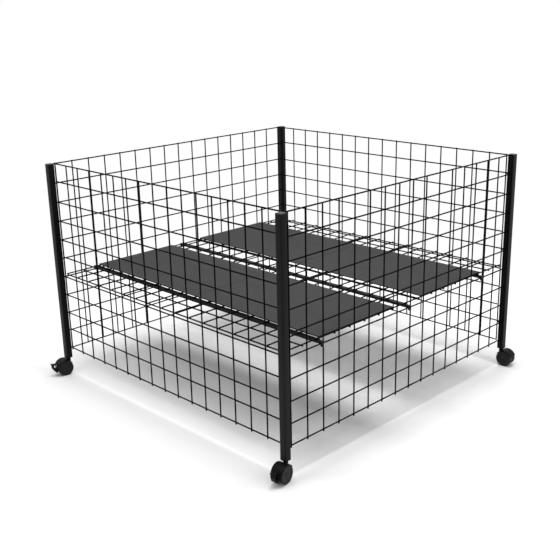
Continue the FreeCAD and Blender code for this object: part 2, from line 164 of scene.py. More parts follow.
def spread(nodes, links, noise, low, high):
    """Maps the noise, which mostly stays between 0.3 and 0.7, onto low to high."""
    ranged = nodes.new("ShaderNodeMapRange")
    ranged.inputs["From Min"].default_value = 0.3
    ranged.inputs["From Max"].default_value = 0.7
    ranged.inputs["To Min"].default_value = low
    ranged.inputs["To Max"].default_value = high
    links.new(noise.outputs["Fac"], ranged.inputs["Value"])
    return ranged.outputs["Result"]


def add_bump(nodes, links, shader, noise, strength, height):
    """Lets the noise stand up to `height` metres off the surface."""
    bump = nodes.new("ShaderNodeBump")
    bump.inputs["Strength"].default_value = strength
    bump.inputs["Distance"].default_value = height
    links.new(noise.outputs["Fac"], bump.inputs["Height"])
    links.new(bump.outputs["Normal"], shader.inputs["Normal"])


def powder_coat(name, shade, roughness, specular):
    """Satin black powder coat: slight orange peel, and a gloss that wanders a little."""
    color = (shade, shade, shade * 1.06)
    made, nodes, links, shader = new_material(name, color, roughness, specular)
    gloss = object_noise(nodes, links, scale=18, detail=3)
    links.new(spread(nodes, links, gloss, roughness - 0.05, roughness + 0.06),
              shader.inputs["Roughness"])
    peel = object_noise(nodes, links, scale=900, detail=2)
    add_bump(nodes, links, shader, peel, strength=0.25, height=0.1 * MM)
    return made


def moulded_black(name, color, roughness, grain, specular):
    """Injection-moulded plastic with a fine spark-eroded grain."""
    made, nodes, links, shader = new_material(name, color, roughness, specular)
    speck = object_noise(nodes, links, scale=grain, detail=3)
    add_bump(nodes, links, shader, speck, strength=0.3, height=0.08 * MM)
    cloud = object_noise(nodes, links, scale=30, detail=2)
    links.new(spread(nodes, links, cloud, roughness - 0.04, roughness + 0.05),
              shader.inputs["Roughness"])
    return made


def board_painted_edge_shade(nodes, links):
    """Painted shade for a board's edges: 1 on its two faces and a small share between them, told
    from the height in the piece's own coordinates."""
    low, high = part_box("board_front_left")
    half_t = (high[2] - low[2]) / 2
    place = nodes.new("ShaderNodeTexCoord")
    parts = nodes.new("ShaderNodeSeparateXYZ")
    above_middle = nodes.new("ShaderNodeMath")
    above_middle.operation = "SUBTRACT"
    above_middle.inputs[1].default_value = low[2] + half_t
    distance = nodes.new("ShaderNodeMath")
    distance.operation = "ABSOLUTE"
    painted_light_share = nodes.new("ShaderNodeMapRange")
    painted_light_share.inputs["From Min"].default_value = half_t - 0.4 * MM
    painted_light_share.inputs["From Max"].default_value = half_t - 0.2 * MM
    painted_light_share.inputs["To Min"].default_value = BOARD_EDGE_PAINTED_SHADE
    links.new(place.outputs["Object"], parts.inputs["Vector"])
    links.new(parts.outputs["Z"], above_middle.inputs[0])
    links.new(above_middle.outputs["Value"], distance.inputs[0])
    links.new(distance.outputs["Value"], painted_light_share.inputs["Value"])
    return painted_light_share.outputs["Result"]


def board_finish():
    """Dark grey hard board: faint long streaks in the colour of its faces, a painted sheen on the
    faces and painted shade on the near-black edges, and a matt, slightly rough skin."""
    made, nodes, links, shader = new_material("board_dark_grey", BOARD_GREY, roughness=0.62)
    streak = object_noise(nodes, links, scale=14, detail=4, stretch=(0.25, 3.0, 1.0))
    ramp = nodes.new("ShaderNodeValToRGB")
    dark, light = ramp.color_ramp.elements
    dark.position, light.position = 0.3, 0.7
    dark.color = BOARD_STREAK_DARK
    light.color = BOARD_STREAK_LIGHT
    links.new(streak.outputs["Fac"], ramp.inputs["Fac"])
    # painted light: the faces keep a lighter grey as painted sheen, the edges go near-black as
    # painted shade
    painted_light_share = board_painted_edge_shade(nodes, links)
    shade = nodes.new("ShaderNodeVectorMath")
    shade.operation = "SCALE"
    links.new(ramp.outputs["Color"], shade.inputs[0])
    links.new(painted_light_share, shade.inputs["Scale"])
    links.new(shade.outputs["Vector"], shader.inputs["Base Color"])
    sheen = nodes.new("ShaderNodeMath")
    sheen.operation = "MULTIPLY"
    sheen.inputs[1].default_value = BOARD_SPECULAR
    links.new(painted_light_share, sheen.inputs[0])
    links.new(sheen.outputs["Value"], shader.inputs["Specular IOR Level"])
    speck = object_noise(nodes, links, scale=700, detail=3)
    add_bump(nodes, links, shader, speck, strength=0.35, height=0.1 * MM)
    return made


def plated():
    """Bright zinc plating, a little cloudy."""
    made, nodes, links, shader = new_material("zinc_plated", (0.55, 0.55, 0.57), 0.3, metallic=1.0)
    cloud = object_noise(nodes, links, scale=120, detail=3)
    links.new(spread(nodes, links, cloud, 0.22, 0.42), shader.inputs["Roughness"])
    return made


SLOT_FINISH = {
    "black_coat": powder_coat("black_powder_coat", 0.0017, roughness=0.37, specular=0.12),
    "cap_plastic": moulded_black("cap_black", (0.006, 0.006, 0.006), roughness=0.36,
                                 grain=1500, specular=0.25),
    "board_grey": board_finish(),
    "castor_nylon": moulded_black("castor_black", (0.0028, 0.0028, 0.003), roughness=0.46,
                                  grain=1200, specular=0.08),
    "wheel_nylon": moulded_black("wheel_black", (0.0065, 0.0065, 0.0067), roughness=0.46,
                                 grain=1000, specular=0.2),
    "plated_steel": plated()}
WIRE_COAT = powder_coat("black_wire_coat", 0.0009, roughness=0.46, specular=0.035)
WIRE_NODES = ("side_panel_left", "side_panel_right", "front_panel", "rear_panel", "deck_mesh")
BODY_OF = {node: body for body, nodes in frame["record"]["behaviour"]["bodies"].items()
           for node in nodes}
SLOT_OF = {part["node"]: part["material_slot"] for part in frame["record"]["subparts"]}


def finish(node):
    """The wires' coat is duller than the posts', and every other piece has its slot's finish."""
    return WIRE_COAT if node in WIRE_NODES else SLOT_FINISH[SLOT_OF[node]]


def dress_cad_nodes():
    for node, obj in frame["nodes"].items():
        obj.data.materials.clear()
        obj.data.materials.append(finish(node))


dress_cad_nodes()


# ---- making pieces ---------------------------------------------------------------------------
class Shell:
    """Gathers vertices and faces of one piece from several closed surfaces, each given in the
    piece's own frame, which is turned by `yaw` degrees about Z and set at (x, y)."""

    def __init__(self, yaw=0.0, stand=(0.0, 0.0)):
        self.points = []
        self.faces = []
        self.count = 0
        self.yaw = math.radians(yaw)
        self.stand = stand

    def add(self, points, faces):
        own = np.asarray(points, float)
        cos, sin = math.cos(self.yaw), math.sin(self.yaw)
        self.points.append(np.column_stack([own[:, 0] * cos - own[:, 1] * sin + self.stand[0],
                                            own[:, 0] * sin + own[:, 1] * cos + self.stand[1],
                                            own[:, 2]]))
        for block in faces:
            self.faces.append(np.asarray(block, int) + self.count)
        self.count += len(points)

    def piece(self, name, node, sharp=40):
        """Makes the object, on the node's body and in its finish, standing for the node. Edges
        that bend by more than `sharp` degrees stay sharp."""
        mesh = bpy.data.meshes.new(name)
        faces = [face for block in self.faces for face in block.tolist()]
        mesh.from_pydata(np.vstack(self.points).tolist(), [], faces)
        mesh.validate()
        mesh.shade_smooth()
        mesh.set_sharp_from_angle(angle=math.radians(sharp))
        mesh.materials.append(finish(node))
        obj = bpy.data.objects.new(name, mesh)
        bpy.context.scene.collection.objects.link(obj)
        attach(obj, BODY_OF[node])
        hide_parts(node)
        return obj


def ring_faces(rings, sides):
    """Quads between consecutive closed rings of `sides` points each."""
    ring = np.arange(rings - 1)[:, None] * sides
    side = np.arange(sides)[None, :]
    after = (side + 1) % sides
    quads = np.stack([ring + side, ring + after, ring + sides + after, ring + sides + side], -1)
    return quads.reshape(-1, 4)


def closing_faces(rings):
    """Quads from the last ring back to the first, for a section that closes on itself."""
    count, sides, _ = rings.shape
    side = np.arange(sides)
    after = (side + 1) % sides
    last = (count - 1) * sides
    return np.stack([last + side, last + after, after, side], -1)


def closed_loft(rings):
    """Skins an array (rings, sides, 3), counter-clockwise seen from its last ring, with a pole
    at the middle of each end ring."""
    count, sides, _ = rings.shape
    start = rings[0].mean(0)
    end = rings[-1].mean(0)
    points = np.vstack([rings.reshape(-1, 3), start, end])
    side = np.arange(sides)
    after = (side + 1) % sides
    last = (count - 1) * sides
    start_fan = np.stack([after, side, np.full(sides, count * sides)], -1)
    end_fan = np.stack([last + side, last + after, np.full(sides, count * sides + 1)], -1)
    return points, [ring_faces(count, sides), start_fan, end_fan]


# each frame is two directions across and the one along, right-handed
AXIS_FRAMES = {"x": np.array([[0, 1, 0], [0, 0, 1], [1, 0, 0]], float),
               "y": np.array([[0, 0, 1], [1, 0, 0], [0, 1, 0]], float),
               "z": np.array([[1, 0, 0], [0, 1, 0], [0, 0, 1]], float),
               "xz": np.array([[1, 0, 0], [0, 0, 1], [0, -1, 0]], float)}


def turned(shell, axis, centre, profile, sides):
    """A turned surface: circles round the axis at each (radius, place along), capped at both
    ends. The outside lies to the left of the profile's way, radius drawn to the right."""
    across_u, across_v, along = AXIS_FRAMES[axis]
    turn = np.linspace(0, 2 * np.pi, sides, endpoint=False)
    circle = np.cos(turn)[:, None] * across_u + np.sin(turn)[:, None] * across_v
    radii, places = np.asarray(profile, float).T
    rings = (np.asarray(centre)[None, None, :] + circle[None] * radii[:, None, None]
             + along[None, None, :] * places[:, None, None])
    shell.add(*closed_loft(rings))


def wire(shell, axis, low_end, length, nip=0.4 * MM, flare=0.0):
    """A straight wire: circles of radius WIRE_R along the axis, nipped in by `nip` at both ends,
    or flared out there by `flare` where it is welded to a face."""
    end = [(WIRE_R - nip, 0), (WIRE_R, nip)]
    if flare:
        end = [(WIRE_R + flare, 0), (WIRE_R + 0.45 * flare, 0.5 * flare), (WIRE_R, 1.8 * flare)]
    profile = end + [(radius, length - place) for radius, place in end[::-1]]
    turned(shell, axis, low_end, profile, sides=16)


def weld_nugget(shell, centre, normal_axis):
    """The squeezed metal where two wires cross: a lens round the crossing, thin at its edge."""
    radius = 2.0 * MM
    half_t = 1.0 * MM
    lift = np.radians([-50, 0, 50])
    profile = np.column_stack([radius * np.cos(lift), half_t * np.sin(lift)])
    turned(shell, normal_axis, centre, profile, sides=8)


def inset(outline, amount):
    """An outline moved inwards by `amount`, with mitred corners."""
    edge = np.roll(outline, -1, 0) - outline
    edge = edge / np.linalg.norm(edge, axis=1, keepdims=True)
    inward = np.column_stack([-edge[:, 1], edge[:, 0]])
    before = np.roll(inward, 1, 0)
    mitre = (before + inward) / (1 + (before * inward).sum(1, keepdims=True))
    return outline + mitre * amount


def slab(shell, outline, frame_axes, low, high, ease):
    """A closed outline, counter-clockwise in the frame's two directions across, pulled from low
    to high along its third, with a quarter round of radius `ease` on both rims."""
    across_u, across_v, along = frame_axes
    outline = np.asarray(outline, float)
    turn = np.radians([0, 30, 60, 90])
    insets = ease * (1 - np.sin(turn))
    rises = ease * (1 - np.cos(turn))
    sections = list(zip(insets, low + rises)) + list(zip(insets, high - rises))[::-1]
    rings = []
    for amount, place in sections:
        flat = inset(outline, amount)
        rings.append(flat[:, :1] * across_u + flat[:, 1:] * across_v + along * place)
    rings = np.array(rings)
    count, sides, _ = rings.shape
    first_cap = np.arange(sides)[::-1][None, :]
    last_cap = (count - 1) * sides + np.arange(sides)[None, :]
    shell.add(rings.reshape(-1, 3), [ring_faces(count, sides), first_cap, last_cap])


def arc_points(centre, radius, start, stop, count):
    """`count` points along an arc, by angle in degrees from the first direction to the second."""
    angles = np.radians(np.linspace(start, stop, count))
    return np.column_stack([centre[0] + radius * np.cos(angles),
                            centre[1] + radius * np.sin(angles)])


def swept(shell, centre_xz, degrees, sections):
    """A band along an arc in the XZ plane: at each angle up from +X a section of points
    (radius, y), counter-clockwise with the radius to the right; `sections` is one for all
    angles or one for each."""
    angles = np.radians(np.asarray(degrees, float))
    sections = np.broadcast_to(sections, (len(angles),) + np.shape(sections)[-2:])
    radius = sections[:, :, 0]
    rings = np.stack([centre_xz[0] + radius * np.cos(angles)[:, None], sections[:, :, 1],
                      centre_xz[1] + radius * np.sin(angles)[:, None]], -1)
    shell.add(*closed_loft(rings))


def band_section(inner, outer, half_w, ease):
    """A rectangle from inner to outer radius and -half_w to half_w, corners cut by `ease`."""
    return np.array([(inner + ease, -half_w), (outer - ease, -half_w), (outer, ease - half_w),
                     (outer, half_w - ease), (outer - ease, half_w), (inner + ease, half_w),
                     (inner, half_w - ease), (inner, ease - half_w)])


def across(index):
    """Place of a mesh wire, counted from one edge wire."""
    return MESH_PITCH * (index - CELLS_ACROSS / 2)


def row_heights(low_z, hooked):
    """Heights of a panel's rows above its uprights' lower ends at low_z, by the pitch, with the
    hook rows of a hooked panel a little higher."""
    bottom = low_z + UPRIGHT_TAIL + WIRE_R
    return [bottom + MESH_PITCH * row + (HOOK_ROW_LIFT if hooked and row in HOOK_ROWS else 0)
            for row in range(CELLS_UP + 1)]


def side_panel(node):
    """Uprights in the outer layer, rows in the inner one, ending on the posts."""
    low, high = (np.array(corner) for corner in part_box(node))
    sign = 1 if low[0] > 0 else -1
    outer_x = sign * (max(abs(low[0]), abs(high[0])) - WIRE_R)
    inner_x = outer_x - sign * LAYER_STEP
    shell = Shell()
    for index in range(CELLS_ACROSS + 1):
        wire(shell, "z", (outer_x, across(index), low[2]), high[2] - low[2])
    for row, z in enumerate(row_heights(low[2], hooked=False)):
        # the rim wire only butts against the caps, the rest are welded to the posts
        wire(shell, "y", (inner_x, low[1], z), high[1] - low[1],
             flare=0.9 * MM if row < CELLS_UP else 0.0)
        for index in range(CELLS_ACROSS + 1):
            weld_nugget(shell, ((outer_x + inner_x) / 2, across(index), z), "x")
    return shell.piece(node + "_wires", node)


def end_panel(node):
    """Uprights in the outer layer, rows in the inner one. Most rows end at the edge uprights;
    the hook rows reach on into the posts' lugs."""
    low, high = (np.array(corner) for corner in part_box(node))
    sign = 1 if low[1] > 0 else -1
    outer_y = sign * (max(abs(low[1]), abs(high[1])) - WIRE_R)
    inner_y = outer_y - sign * LAYER_STEP
    shell = Shell()
    for index in range(CELLS_ACROSS + 1):
        wire(shell, "z", (across(index), outer_y, low[2]), high[2] - low[2])
    for row, z in enumerate(row_heights(low[2], hooked=True)):
        reach = high[0] if row in HOOK_ROWS else across(CELLS_ACROSS) + WIRE_R + WIRE_TAIL
        wire(shell, "x", (-reach, inner_y, z), 2 * reach)
        for index in range(CELLS_ACROSS + 1):
            weld_nugget(shell, (across(index), (outer_y + inner_y) / 2, z), "y")
    return shell.piece(node + "_wires", node)


def deck():
    """Wires along X below, wires along Y welded on top of them."""
    low, high = (np.array(corner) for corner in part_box("deck_mesh"))
    upper_z = high[2] - WIRE_R
    lower_z = upper_z - LAYER_STEP
    shell = Shell()
    for index in range(CELLS_ACROSS + 1):
        wire(shell, "x", (low[0], across(index), lower_z), high[0] - low[0], nip=0.25 * MM)
        wire(shell, "y", (across(index), low[1], upper_z), high[1] - low[1], nip=0.25 * MM)
        for other in range(CELLS_ACROSS + 1):
            weld_nugget(shell, (across(index), across(other), (upper_z + lower_z) / 2), "z")
    return shell.piece("deck_mesh_wires", "deck_mesh")


def rounded_square(width, corner_r, steps=6):
    """Points round a square with arcs of corner_r at its corners, counter-clockwise."""
    arc = np.radians(np.linspace(0, 90, steps))
    quarter = np.stack([np.cos(arc), np.sin(arc)], -1) * corner_r + (width / 2 - corner_r)
    turns = [np.array([[1, 0], [0, 1]]), np.array([[0, 1], [-1, 0]]),
             np.array([[-1, 0], [0, -1]]), np.array([[0, -1], [1, 0]])]
    return np.vstack([quarter @ turn for turn in turns])


def square_rings(centre_xy, sections):
    """Rings of a rounded square at each (width, corner radius, z)."""
    rings = []
    for width, corner_r, z in sections:
        flat = rounded_square(width, corner_r) + np.asarray(centre_xy)
        rings.append(np.column_stack([flat, np.full(len(flat), z)]))
    return np.array(rings)


def middle_xy(node):
    """Middle of a node's box in plan."""
    low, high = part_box(node)
    return ((low[0] + high[0]) / 2, (low[1] + high[1]) / 2)


def post(corner):
    """The square tube: outer wall up, over the top edge, inner wall down and round again."""
    node = "post_" + corner
    low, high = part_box(node)
    inside = TUBE - 2 * TUBE_WALL
    inner_r = TUBE_CORNER_R / 4
    rings = square_rings(middle_xy(node), [
        (TUBE, TUBE_CORNER_R, low[2]), (TUBE, TUBE_CORNER_R, high[2]),
        (inside, inner_r, high[2]), (inside, inner_r, low[2])])
    shell = Shell()
    shell.add(rings.reshape(-1, 3), [ring_faces(*rings.shape[:2]), closing_faces(rings)])
    return shell.piece(node + "_tube", node)


def post_cap(corner):
    """Plug, square flange with a rounded top edge, and a very slightly crowned top: rounded
    squares stacked along Z."""
    node = "post_cap_" + corner
    low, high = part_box(node)
    top = high[2]
    flange_z = top - 2.5 * MM
    plug_w = TUBE - 2 * TUBE_WALL - 0.2 * MM
    plug_r = 0.6 * MM
    edge_r = 0.9 * MM
    crown = 0.25 * MM
    sections = [(plug_w - 1 * MM, plug_r, low[2]), (plug_w, plug_r, low[2] + 0.8 * MM),
                (plug_w, plug_r, flange_z), (TUBE, TUBE_CORNER_R, flange_z)]
    for turn in np.radians(np.linspace(0, 90, 6)):
        drawn_in = edge_r * (1 - math.cos(turn))
        sections.append((TUBE - 2 * drawn_in, TUBE_CORNER_R - 0.5 * drawn_in,
                         top - crown - edge_r * (1 - math.sin(turn))))
    sections += [(12 * MM, 1.5 * MM, top - 0.08 * MM), (6 * MM, 1 * MM, top)]
    shell = Shell()
    shell.add(*closed_loft(square_rings(middle_xy(node), sections)))
    return shell.piece(node + "_moulding", node)


def hook_lugs(corner):
    """The bent lugs on a post's inner face: a floor under each hook row's wire, and a lip."""
    node = "hook_lugs_" + corner
    low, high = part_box(node)
    panel_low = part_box("rear_panel" if corner.startswith("rear") else "front_panel")[0]
    side = 1 if low[1] > 0 else -1
    face = max(abs(low[1]), abs(high[1]))
    tip = min(abs(low[1]), abs(high[1]))
    heights = row_heights(panel_low[2], hooked=True)
    shell = Shell()
    for row in HOOK_ROWS:
        floor = heights[row] - WIRE_R - HANG_GAP
        outline = np.array([(tip, floor - LUG_T), (face, floor - LUG_T), (face, floor),
                            (tip + LUG_T, floor), (tip + LUG_T, heights[row] + LUG_RISE),
                            (tip, heights[row] + LUG_RISE)])
        if side < 0:
            outline = outline[::-1] * (-1, 1)
        slab(shell, outline, AXIS_FRAMES["x"], low[0], high[0], ease=0.35 * MM)
    return shell.piece(node + "_bent", node, sharp=12)


def support_bar(place):
    """Square bar with a shallow saddle over each carrying wire and a hook down behind it."""
    node = "support_bar_" + place
    low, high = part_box(node)
    top = high[2]
    foot = low[2]
    under = top - BAR_H
    hook = high[0] - BAR_HOOK_T
    saddle = hook - BAR_HOOK_TO_NOTCH
    half = [(saddle - BAR_NOTCH_HALF, under), (saddle - BAR_NOTCH_HALF, under + BAR_NOTCH),
            (saddle + BAR_NOTCH_HALF, under + BAR_NOTCH), (saddle + BAR_NOTCH_HALF, under),
            (hook, under), (hook, foot), (high[0], foot), (high[0], top)]
    other = [(-x, z) for x, z in half[::-1]]
    shell = Shell()
    slab(shell, half + other, AXIS_FRAMES["xz"], -high[1], -low[1], ease=0.6 * MM)
    return shell.piece(node + "_rod", node, sharp=12)


def board(end, side):
    """Thin board, its corners and edges barely rounded."""
    node = "board_" + end + "_" + side
    low, high = (np.array(corner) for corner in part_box(node))
    corner_r = 1.5 * MM
    outline = []
    for sx, sy, start in ((1, 1, 0), (-1, 1, 90), (-1, -1, 180), (1, -1, 270)):
        at_x = (high[0] if sx > 0 else low[0]) - sx * corner_r
        at_y = (high[1] if sy > 0 else low[1]) - sy * corner_r
        outline.append(arc_points((at_x, at_y), corner_r, start, start + 90, 4))
    shell = Shell()
    slab(shell, np.vstack(outline), AXIS_FRAMES["z"], low[2], high[2], ease=0.5 * MM)
    return shell.piece(node + "_panel", node, sharp=12)


# ---- castors, each made trailing along +X with its swivel axis at the origin -----------------
AXLE = (TRAIL, WHEEL_R)
PIVOT = (TRAIL + PIVOT_R * math.cos(math.radians(PIVOT_DEG)),
         WHEEL_R + PIVOT_R * math.sin(math.radians(PIVOT_DEG)))


def castor_shell(corner):
    return Shell(CASTORS[corner][0], middle_xy("castor_stem_" + corner))


def wheel_profile():
    """Half section of the outer wheel of a pair, from its blind bore round the tread to the
    hub of its outer face: (radius, y) pairs."""
    face = WHEEL_OUT_Y
    bore_end = face - 2.5 * MM
    hub_r = 8.2 * MM             # foot of the hub, on both faces
    core_r = 21 * MM             # hollow of the inner face, from the hub out to here
    core_depth = 4 * MM
    draft = 0.2 * MM             # lean of that hollow's walls
    chamfer = 1 * MM             # inner edge of the tread
    soft = 0.3 * MM
    edge_r = 2.5 * MM            # outer edge of the tread
    rim_r = 18.5 * MM            # inside of the outer face's raised rim
    dish = 1.2 * MM              # rim and hub stand out by this
    dimple_r = 4.2 * MM
    dimple = 0.4 * MM
    profile = [(PIN_BORE_R, bore_end), (PIN_BORE_R, WHEEL_IN_Y), (hub_r, WHEEL_IN_Y),
               (hub_r + draft, WHEEL_IN_Y + core_depth),
               (core_r - draft, WHEEL_IN_Y + core_depth), (core_r, WHEEL_IN_Y),
               (WHEEL_R - chamfer, WHEEL_IN_Y), (WHEEL_R - soft, WHEEL_IN_Y + soft),
               (WHEEL_R, WHEEL_IN_Y + chamfer)]
    for turn in np.radians(np.linspace(0, 90, 9)):
        profile.append((WHEEL_R - edge_r * (1 - math.cos(turn)),
                        face - edge_r * (1 - math.sin(turn))))
    for turn in np.radians(np.linspace(0, 180, 9)):
        fall = dish / 2 * (1 - math.cos(turn))
        profile.append((rim_r - fall, face - fall))
    for turn in np.radians(np.linspace(0, 180, 7)):
        rise = dish / 2 * (1 - math.cos(turn))
        profile.append((hub_r - rise, face - dish + rise))
    return profile + [(dimple_r, face), (dimple_r - dimple, face - dimple)]


def castor_wheel(which, corner):
    """Wheel "a" is the one at +Y of the castor's own frame, "b" its mirror image at -Y."""
    node = "castor_wheel_" + which + "_" + corner
    profile = wheel_profile()
    if which == "b":
        profile = [(radius, -y) for radius, y in profile[::-1]]
    shell = castor_shell(corner)
    turned(shell, "y", (AXLE[0], 0, AXLE[1]), profile, sides=72)
    return shell.piece(node + "_moulding", node, sharp=14)


def hood(shell):
    """Shell of radius HOOD_IN_R to HOOD_OUT_R over the treads, its sides rolled over in a
    quarter of an ellipse; beside the stem's bore it is two wings."""
    half_w = WHEEL_OUT_Y
    roll_w = 3.5 * MM
    roll_drop = 0.85 * MM
    wing_in = 3.4 * MM
    turn = np.radians(np.linspace(0, 90, 7))
    side_r = HOOD_OUT_R - roll_drop * (1 - np.cos(turn))
    side_y = half_w - roll_w * (1 - np.sin(turn))
    left = np.column_stack([side_r, side_y])
    right = left[::-1] * (1, -1)
    full = np.vstack([right, left, [(HOOD_IN_R, half_w), (HOOD_IN_R, -half_w)]])
    wing = np.vstack([[(HOOD_OUT_R, wing_in)], left, [(HOOD_IN_R, half_w), (HOOD_IN_R, wing_in)]])
    split = math.degrees(math.acos((BORE_CLEAR - TRAIL) / HOOD_OUT_R))
    join = math.degrees(math.acos((-BORE_CLEAR - TRAIL) / HOOD_IN_R))
    swept(shell, AXLE, np.linspace(HOOD_REAR_DEG, split, 22), full)
    swept(shell, AXLE, np.linspace(join, HOOD_FRONT_DEG, 4), full)
    swept(shell, AXLE, np.linspace(split, join, 6), wing)
    swept(shell, AXLE, np.linspace(split, join, 6), wing[::-1] * (1, -1))


def neck(shell):
    """Round neck with the stem's blind bore; below the hood it narrows to the web's width, and
    its ledge follows the hood: rings stacked along Z, with radius and height by angle."""
    foot = 33 * MM
    edge = 1.0 * MM
    soft = 0.3 * MM
    narrow_half = WEB_HALF - 0.1 * MM
    seat_r = HOOD_IN_R + 0.8 * MM    # the ledge lies on this radius round the axle,
    lowest_ledge = 38 * MM           # but no lower than this
    ledge_rise = 0.4 * MM
    turn = np.linspace(0, 2 * np.pi, 48, endpoint=False)
    cos, sin = np.cos(turn), np.sin(turn)
    full = np.full_like(turn, NECK_R)
    bore = np.full_like(turn, PIN_BORE_R)
    narrow = np.minimum(NECK_R, narrow_half / np.maximum(np.abs(sin), 1e-6))
    ahead = np.clip(seat_r ** 2 - (TRAIL - NECK_R * cos) ** 2, 0, None)
    ledge = np.maximum(WHEEL_R + np.sqrt(ahead), lowest_ledge)

    def ring(radius, z):
        return np.column_stack([radius * cos, radius * sin, np.broadcast_to(z, turn.shape)])

    rings = [ring(narrow - edge, foot), ring(narrow - soft, foot + soft),
             ring(narrow, foot + edge), ring(narrow, ledge - ledge_rise), ring(full, ledge),
             ring(full, NECK_TOP - edge), ring(full - soft, NECK_TOP - soft),
             ring(full - edge, NECK_TOP), ring(bore + soft, NECK_TOP),
             ring(bore, NECK_TOP - soft), ring(bore, STEM_FOOT)]
    shell.add(*closed_loft(np.array(rings)))


def web(shell):
    """Flat wall between the wheels, level below: an arc just inside the treads' radius, and
    from the hood's rear end one raised into the hood."""
    low_r = WHEEL_R - 0.5 * MM
    high_r = HOOD_OUT_R - 0.6 * MM
    below_axle = 6 * MM
    start = -math.degrees(math.asin(below_axle / low_r))
    stop = math.degrees(math.acos((BORE_CLEAR - TRAIL) / high_r))
    outline = np.vstack([arc_points(AXLE, low_r, start, HOOD_REAR_DEG, 7),
                         arc_points(AXLE, high_r, HOOD_REAR_DEG, stop, 18),
                         [(BORE_CLEAR, WHEEL_R - below_axle)]])
    slab(shell, outline, AXIS_FRAMES["xz"], -WEB_HALF, WEB_HALF, ease=0.3 * MM)


def ear(shell):
    """The pedal's bearing: a tongue from the web out to a round end on the pivot."""
    half_h = 2.5 * MM
    end_r = 3.2 * MM
    root = 16.5 * MM
    lean = math.radians(PIVOT_DEG)
    out = np.array([math.cos(lean), math.sin(lean)])
    up = np.array([-out[1], out[0]])
    start = np.array(AXLE) + out * root
    sweep = 180 - math.degrees(math.asin(half_h / end_r))
    outline = np.vstack([[start - up * half_h],
                         arc_points(PIVOT, end_r, PIVOT_DEG - sweep, PIVOT_DEG + sweep, 27),
                         [start + up * half_h]])
    slab(shell, outline, AXIS_FRAMES["xz"], -EAR_HALF_W, EAR_HALF_W, ease=0.4 * MM)


def castor_housing(corner):
    node = "castor_housing_" + corner
    shell = castor_shell(corner)
    hood(shell)
    neck(shell)
    web(shell)
    if CASTORS[corner][1]:
        ear(shell)
    return shell.piece(node + "_moulding", node, sharp=14)


def pedal_lug(shell, low_y, high_y):
    """A ring along Y round the pivot, with a through bore and eased rims."""
    bore_r = 1.56 * MM
    ease = 0.3 * MM
    across_u, across_v, along = AXIS_FRAMES["y"]
    turn = np.linspace(0, 2 * np.pi, 32, endpoint=False)
    circle = np.cos(turn)[:, None] * across_u + np.sin(turn)[:, None] * across_v
    loop = [(bore_r, low_y), (PEDAL_HUB_R - ease, low_y), (PEDAL_HUB_R, low_y + ease),
            (PEDAL_HUB_R, high_y - ease), (PEDAL_HUB_R - ease, high_y), (bore_r, high_y)]
    centre = np.array([PIVOT[0], 0, PIVOT[1]])
    rings = np.array([centre + circle * radius + along * place for radius, place in loop])
    shell.add(rings.reshape(-1, 3), [ring_faces(*rings.shape[:2]), closing_faces(rings)])


def tread_plate(shell):
    """Flat plate rising to the rear from the pivot, its rear corners rounded, its front edge
    forked round the ear."""
    rise = math.radians(11)
    length = 15.6 * MM
    plate_t = 3.2 * MM
    corner_r = 2.2 * MM
    prong_tip = 2.0 * MM         # front edge beside the ear and behind it, from the pivot
    fork_floor = 3.8 * MM
    axes = np.array([[math.cos(rise), 0, math.sin(rise)], [0, 1, 0],
                     [-math.sin(rise), 0, math.cos(rise)]])
    pivot = axes @ (PIVOT[0], 0, PIVOT[1])
    corner_x = length - corner_r
    corner_y = PEDAL_HALF_W - corner_r
    plan = np.vstack([arc_points((corner_x, -corner_y), corner_r, -90, 0, 7),
                      arc_points((corner_x, corner_y), corner_r, 0, 90, 7),
                      [(prong_tip, PEDAL_HALF_W), (prong_tip, PEDAL_SLOT), (fork_floor, PEDAL_SLOT),
                       (fork_floor, -PEDAL_SLOT), (prong_tip, -PEDAL_SLOT),
                       (prong_tip, -PEDAL_HALF_W)]])
    top = pivot[2] + PEDAL_HUB_R
    slab(shell, plan + pivot[:2], axes, top - plate_t, top, ease=0.7 * MM)


def pedal_arm(shell):
    """A bow round a centre ahead of the pivot and below it. Its inner side keeps to a circle
    round the axle wherever the bow would come nearer to the treads."""
    centre = (PIVOT[0] - 8 * MM, PIVOT[1] - 4.5 * MM)
    bow_in_r = 15 * MM
    bow_out_r = 20 * MM
    half_w = PEDAL_HALF_W - 0.02 * MM
    clear_r = WHEEL_R + 3.05 * MM
    degrees = np.linspace(-57, 23, 18)
    turn = np.radians(degrees)
    away = np.array(centre) - np.array(AXLE)
    along = np.column_stack([np.cos(turn), np.sin(turn)]) @ away
    reach = -along + np.sqrt(np.maximum(along ** 2 - away @ away + clear_r ** 2, 0))
    sections = [band_section(inner_r, bow_out_r, half_w, ease=0.5 * MM)
                for inner_r in np.maximum(bow_in_r, reach)]
    swept(shell, centre, degrees, np.array(sections))


def brake_shoe(shell):
    """A plate bowed round the axle, across both treads."""
    inner_r = WHEEL_R + 3 * MM
    outer_r = WHEEL_R + 7 * MM
    section = band_section(inner_r, outer_r, half_w=12 * MM, ease=0.6 * MM)
    swept(shell, AXLE, np.linspace(-21, 2, 8), section)


def brake_pedal(corner):
    """Two lugs on the pivot, a tread plate behind them, and a bowed arm down to the shoe."""
    node = "brake_pedal_" + corner
    shell = castor_shell(corner)
    pedal_lug(shell, -PEDAL_HALF_W, -PEDAL_SLOT)
    pedal_lug(shell, PEDAL_SLOT, PEDAL_HALF_W)
    tread_plate(shell)
    pedal_arm(shell)
    brake_shoe(shell)
    return shell.piece(node + "_moulding", node, sharp=14)


